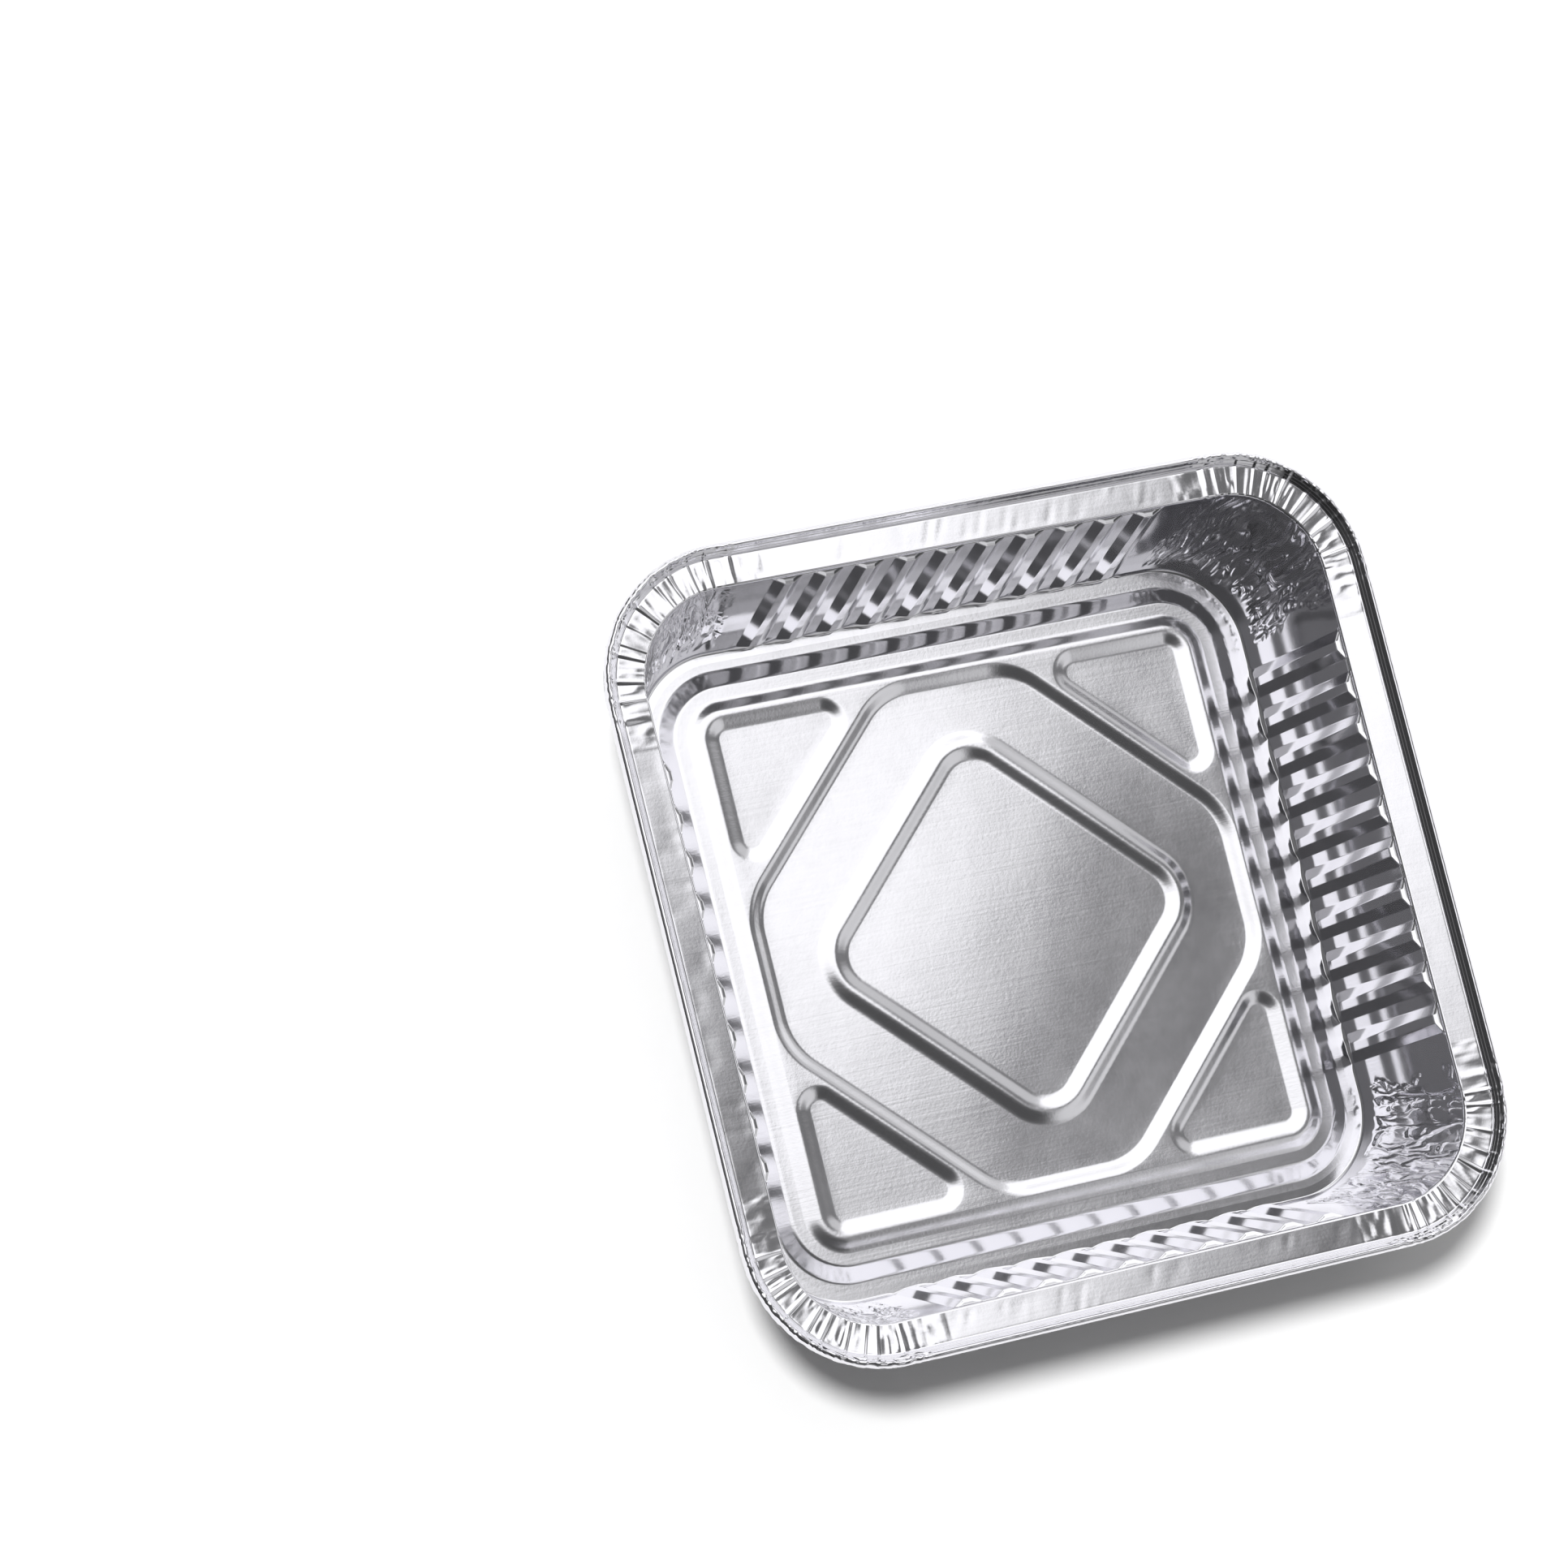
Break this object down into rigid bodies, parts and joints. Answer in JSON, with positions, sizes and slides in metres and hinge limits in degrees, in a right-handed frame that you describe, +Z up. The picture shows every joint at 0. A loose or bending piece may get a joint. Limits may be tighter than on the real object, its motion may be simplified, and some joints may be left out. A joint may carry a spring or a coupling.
{
  "type": "foil cake pan",
  "caption": "Square disposable cake pan pressed from aluminium foil, with an embossed floor, fluted walls, gathered corners, a flat flange and a rolled rim.",
  "frame": {"origin": "middle of the pan, on the surface that its foot ring stands on", "axes": "+Z up, out of the open side; +X and +Y square to two walls"},
  "size_m": [0.235, 0.235, 0.051],
  "materials": {
    "foil": "bright pressed foil, satin in the grain, with fine creases"
  },
  "bodies": {
    "root": {"pan": "foil"}
  },
  "joints": []
}
